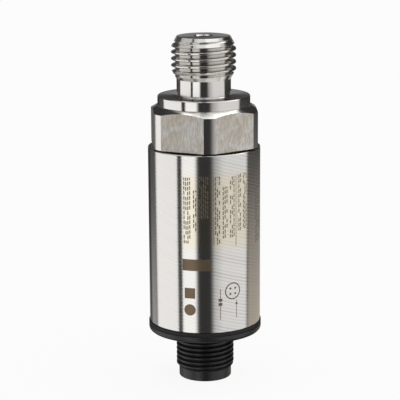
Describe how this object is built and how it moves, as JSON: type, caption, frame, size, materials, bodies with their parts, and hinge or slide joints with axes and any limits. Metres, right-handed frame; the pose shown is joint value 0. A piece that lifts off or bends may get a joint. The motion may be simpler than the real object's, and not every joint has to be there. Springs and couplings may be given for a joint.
{
  "type": "electronic pressure switch",
  "caption": "Slim cylindrical electronic pressure switch with a steel sleeve, a wrench hex, a threaded port stud on top and a black flange with a round threaded plug below.",
  "frame": {"origin": "centre of the plug nose's end face, on the turned axis", "axes": "+Z along the turned axis from the plug to the port stud, -Y towards the front corner of the hex"},
  "size_m": [0.0234, 0.0234, 0.0715],
  "materials": {
    "turned_steel": "fine turned stainless steel, milled flats",
    "sleeve_steel": "fine turned stainless steel with brown laser marks",
    "black_rubber": "matte black rubber",
    "black_plastic": "satin black glass-filled plastic",
    "insert_plastic": "matte black moulded plastic",
    "contact_gold": "gold-plated brass",
    "white_ceramic": "ground white ceramic",
    "grey_plastic": "moulded grey plastic",
    "spring_steel": "dark spring steel",
    "amber_film": "glossy amber film with copper tracks",
    "board_green": "green solder resist",
    "chip_black": "black moulding compound with tinned leads",
    "capacitor_tan": "tan ceramic with tinned ends",
    "resistor_dark": "dark glazed film with tinned ends"
  },
  "bodies": {
    "root": {"process_connection": "turned_steel", "housing_sleeve": "sleeve_steel", "flange_gasket": "black_rubber", "connector_body": "black_plastic", "contact_insert": "insert_plastic", "contact_pin_1": "contact_gold", "contact_pin_2": "contact_gold", "contact_pin_3": "contact_gold", "contact_pin_4": "contact_gold", "pressure_cell": "white_ceramic", "cell_seal": "black_rubber", "thrust_ring": "grey_plastic", "snap_ring": "spring_steel", "cell_flex": "amber_film", "board_carrier": "grey_plastic", "circuit_board": "board_green", "signal_chip": "chip_black", "controller_chip": "chip_black", "voltage_regulator": "chip_black", "output_transistors": "chip_black", "surge_diodes": "chip_black", "board_capacitors": "capacitor_tan", "board_resistors": "resistor_dark"}
  },
  "joints": []
}
